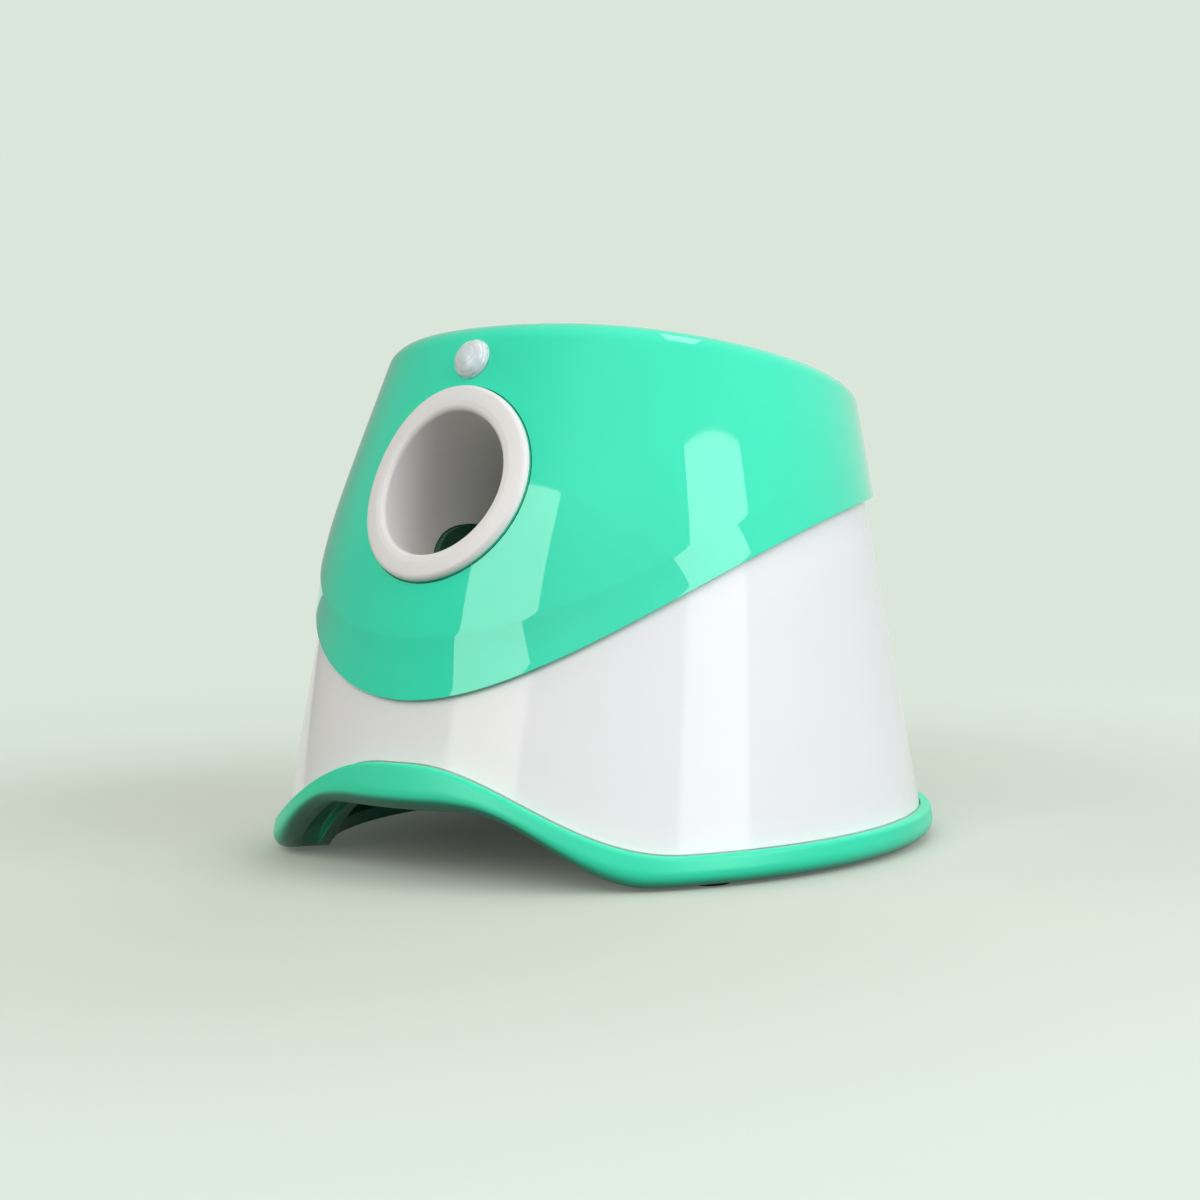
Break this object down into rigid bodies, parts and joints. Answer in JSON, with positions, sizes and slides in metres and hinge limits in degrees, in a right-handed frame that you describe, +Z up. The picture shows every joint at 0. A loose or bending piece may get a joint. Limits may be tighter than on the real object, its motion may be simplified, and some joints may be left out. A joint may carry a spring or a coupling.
{
  "type": "automatic dog ball launcher",
  "caption": "Round green and white ball launcher for dogs: a hopper bowl on top, a ringed muzzle in the leaning front, a motor-drawn spring striker inside and an arched foot ring.",
  "frame": {"origin": "on the floor, under the middle of the whole part's box", "axes": "+Z up, the muzzle faces -Y, +X towards the side that the picture shows, which is the launcher's own left"},
  "size_m": [0.2832, 0.266, 0.2155],
  "materials": {
    "mint_gloss": "high gloss moulded mint green plastic",
    "white_gloss": "high gloss moulded white plastic",
    "dark_green": "satin dark green plastic",
    "black_rubber": "matt black rubber",
    "grey_plastic": "matt grey moulded plastic",
    "nylon": "natural nylon, slightly waxy",
    "acetal": "cream acetal, smooth",
    "spring_steel": "bright drawn wire",
    "plated_steel": "zinc plated",
    "board": "green solder mask",
    "cell_sleeve": "shrink sleeve with no print",
    "lens_white": "milky faceted lens",
    "black_plastic": "fine grained black plastic",
    "light": "clear green light lens"
  },
  "bodies": {
    "case": {"top_shell": "mint_gloss", "lower_body": "white_gloss", "foot_ring": "mint_gloss", "foot_pad_1": "black_rubber", "foot_pad_2": "black_rubber", "foot_pad_3": "black_rubber", "foot_pad_4": "black_rubber", "muzzle_ring": "white_gloss", "barrel": "dark_green", "barrel_end_cap": "grey_plastic", "launch_spring": "spring_steel", "gear_axle": "plated_steel", "motor": "plated_steel", "gear_plate_lower": "grey_plastic", "gear_plate_upper": "grey_plastic", "gearbox_pillar_1": "grey_plastic", "gearbox_pillar_2": "grey_plastic", "gearbox_pillar_3": "grey_plastic", "gearbox_screw_1": "plated_steel", "gearbox_screw_2": "plated_steel", "gearbox_screw_3": "plated_steel", "cradle_front": "grey_plastic", "cradle_rear": "grey_plastic", "hopper_bowl": "white_gloss", "hopper_throat": "white_gloss", "bottom_pan": "dark_green", "pan_screw_1": "plated_steel", "pan_screw_2": "plated_steel", "pan_screw_3": "plated_steel", "pan_screw_4": "plated_steel", "battery_box": "grey_plastic", "battery_contact_front": "spring_steel", "battery_contact_rear": "spring_steel", "battery_cell_1": "cell_sleeve", "battery_cell_2": "cell_sleeve", "battery_cell_3": "cell_sleeve", "battery_cell_4": "cell_sleeve", "control_panel": "black_plastic", "power_button_switch": "black_plastic", "range_button_switch": "black_plastic", "range_light_1": "light", "range_light_2": "light", "range_light_3": "light", "power_inlet": "black_plastic", "main_board": "board", "buzzer": "black_plastic", "sensor_lens": "lens_white", "sensor_can": "plated_steel", "sensor_board": "board"},
    "striker": {"striker": "nylon", "striker_face": "black_rubber"},
    "sector": {"sector_gear": "acetal", "drive_wheel": "nylon"},
    "pinion": {"motor_pinion": "plated_steel", "motor_shaft": "spring_steel"},
    "battery_door": {"battery_door": "dark_green"},
    "power_button": {"power_button": "mint_gloss"},
    "range_button": {"range_button": "mint_gloss"}
  },
  "joints": [
    {"name": "sector_spin", "type": "hinge", "parent": "case", "child": "sector", "pos_m": [0.0663, 0.03647, 0.0918], "axis": [0, -0.4226, -0.9063], "range_deg": [0, 131.31]},
    {"name": "striker_slide", "type": "slide", "parent": "case", "child": "striker", "axis": [0, 0.9063, -0.4226], "range_m": [0, 0.055], "stiffness_N_per_m": 250, "deforming": ["launch_spring"]},
    {"name": "pinion_spin", "type": "hinge", "parent": "case", "child": "pinion", "pos_m": [0.0663, 0.00221, 0.10777], "axis": [0, -0.4226, -0.9063], "range_deg": [-525.3, 0]},
    {"name": "battery_door_lift", "type": "slide", "parent": "case", "child": "battery_door", "axis": [0, -0.1471, -0.9891], "range_m": [0, 0.01]},
    {"name": "power_button_press", "type": "slide", "parent": "case", "child": "power_button", "axis": [0.5314, -0.8291, -0.1736], "range_m": [0, 0.0015], "stiffness_N_per_m": 400},
    {"name": "range_button_press", "type": "slide", "parent": "case", "child": "range_button", "axis": [0.5314, -0.8291, -0.1736], "range_m": [0, 0.0015], "stiffness_N_per_m": 400}
  ],
  "couplings": [
    {"joint": "sector_spin", "follows": "striker_slide", "rad_per_m": 41.667},
    {"joint": "pinion_spin", "follows": "striker_slide", "rad_per_m": -166.67}
  ]
}
